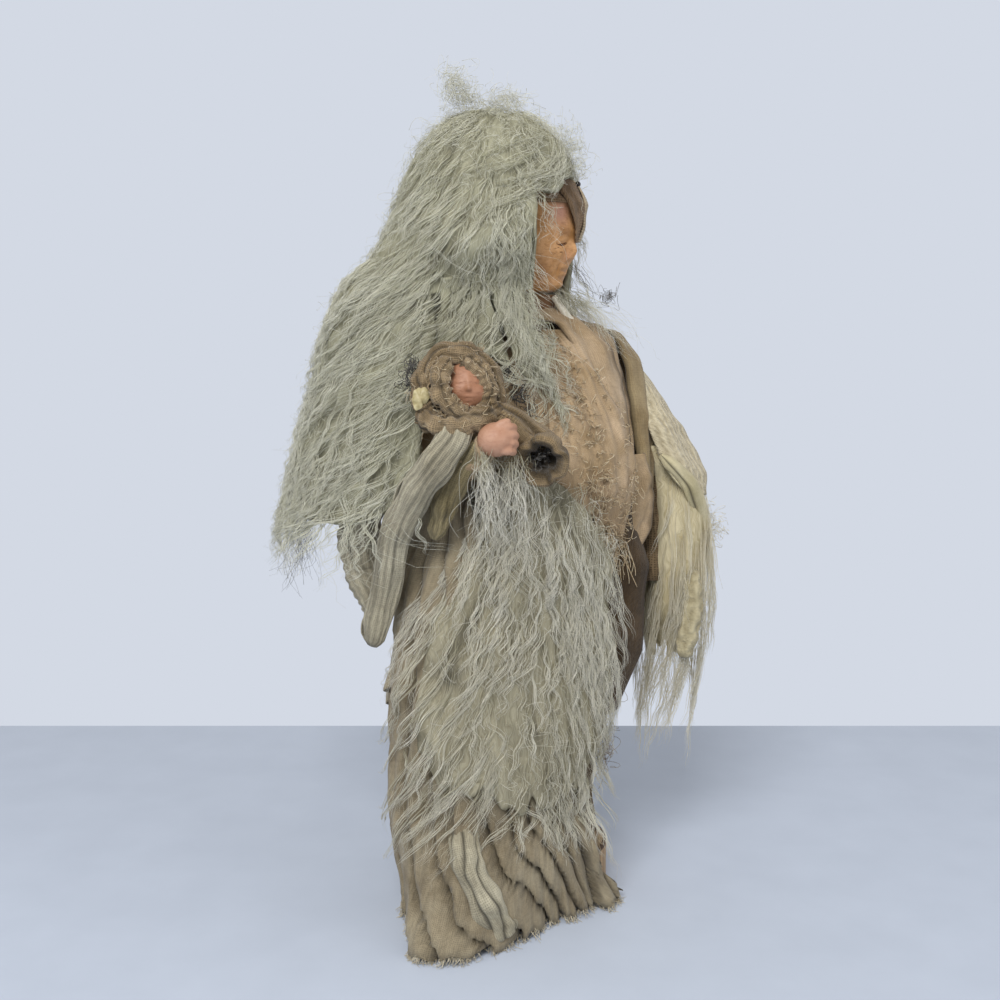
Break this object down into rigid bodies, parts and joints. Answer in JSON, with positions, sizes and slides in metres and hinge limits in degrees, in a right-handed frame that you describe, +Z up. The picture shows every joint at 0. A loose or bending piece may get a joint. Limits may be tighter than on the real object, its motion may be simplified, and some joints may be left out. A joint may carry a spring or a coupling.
{
  "type": "art doll",
  "caption": "Standing elder art doll with curly wool hair, layered gauze robe and fleece apron, holding a swaddled baby, on a round wooden base.",
  "frame": {"origin": "middle of the base's underside", "axes": "+Z up along the post; the doll faces -Y and its right hand is on the -X side"},
  "size_m": [0.2496, 0.2164, 0.4924],
  "materials": {
    "turned_wood": "sanded and lightly stained softwood",
    "kraft_paper": "rolled kraft paper",
    "stuffed_muslin": "plain cotton muslin over wool stuffing",
    "armature_wire": "drawn wire",
    "beige_gauze": "crinkled cotton gauze with frayed edges",
    "tan_netting": "open cotton cheesecloth",
    "cream_knit": "cream bouclé knit",
    "curly_fleece": "washed curly sheep's wool on its hide",
    "brown_gauze": "dyed gauze",
    "tan_clay": "matt air-dried clay with a brown wash",
    "pink_clay": "matt air-dried clay, flesh tint",
    "bone": "polished bone",
    "gilt_shell": "gilt shell flake"
  },
  "bodies": {
    "stand": {"base_disc": "turned_wood", "post": "turned_wood"},
    "doll": {"post_tube": "kraft_paper", "hip_form": "stuffed_muslin", "torso_form": "stuffed_muslin", "neck_peg": "turned_wood", "neck": "tan_clay", "shoulder_wire": "armature_wire", "right_upper_arm": "stuffed_muslin", "right_forearm": "stuffed_muslin", "right_hand": "pink_clay", "underskirt": "beige_gauze", "overskirt": "beige_gauze", "bodice": "beige_gauze", "waist_sash": "beige_gauze", "front_panel": "tan_netting", "left_lapel": "beige_gauze", "side_drape": "beige_gauze", "apron_fleece": "curly_fleece", "right_sleeve": "cream_knit", "baby_head": "pink_clay", "baby_hood": "tan_netting", "baby_chin_wrap": "tan_netting", "baby_bundle": "tan_netting", "hood_charm": "gilt_shell", "throat_bead": "bone", "wig_back_fall": "curly_fleece", "wig_right_fall": "curly_fleece", "wig_left_fall": "curly_fleece", "wig_shoulder_lock": "curly_fleece", "wig_front_lock": "curly_fleece"},
    "head": {"head": "tan_clay", "headband": "brown_gauze", "headband_leaf": "brown_gauze", "wig_crown": "curly_fleece", "wig_right_side": "curly_fleece", "wig_left_side": "curly_fleece", "wig_topknot": "curly_fleece"},
    "left_arm": {"left_arm_wire": "armature_wire", "left_upper_arm": "stuffed_muslin", "left_forearm": "stuffed_muslin", "left_hand": "pink_clay", "left_sleeve": "beige_gauze", "left_oversleeve": "cream_knit", "left_cuff_fleece": "curly_fleece"}
  },
  "joints": [
    {"name": "turn_on_stand", "type": "hinge", "parent": "stand", "child": "doll", "pos_m": [0, 0, 0.12], "axis": [0, 0, 1], "range_deg": [-180, 180]},
    {"name": "head_turn", "type": "hinge", "parent": "doll", "child": "head", "pos_m": [0, 0, 0.3678], "axis": [0, 0, 1], "range_deg": [-20, 20]},
    {"name": "left_arm_lift", "type": "hinge", "parent": "doll", "child": "left_arm", "pos_m": [0.062, -0.006, 0.326], "axis": [0, -1, 0], "range_deg": [0, 22]}
  ]
}
